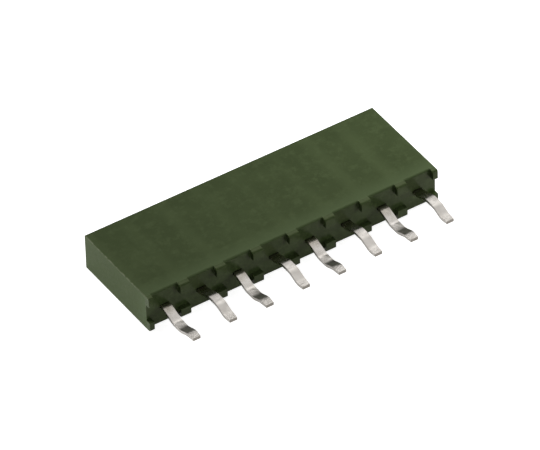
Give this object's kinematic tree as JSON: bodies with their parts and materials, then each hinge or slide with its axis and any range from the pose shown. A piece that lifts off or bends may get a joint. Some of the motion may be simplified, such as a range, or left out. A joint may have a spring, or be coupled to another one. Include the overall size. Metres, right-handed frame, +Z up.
{
  "type": "female pin header strip",
  "caption": "Single-row female pin header strip: a moulded housing with square sockets, stamped spring contacts and flat solder tails kinked to alternate sides.",
  "frame": {"origin": "centre of the wide face of the housing that the strip lies on", "axes": "+X along the row of contacts, -Y out of the board face in the direction of the solder tails, +Z up through the thickness of the housing"},
  "size_m": [0.0204, 0.0101, 0.0025],
  "materials": {
    "housing_plastic": "moulded, fine grain, dark olive green",
    "contact_tin": "matt tin plating over copper alloy, light grey"
  },
  "bodies": {
    "root": {"housing": "housing_plastic", "contact_1": "contact_tin", "contact_2": "contact_tin", "contact_3": "contact_tin", "contact_4": "contact_tin", "contact_5": "contact_tin", "contact_6": "contact_tin", "contact_7": "contact_tin", "contact_8": "contact_tin"}
  },
  "joints": []
}
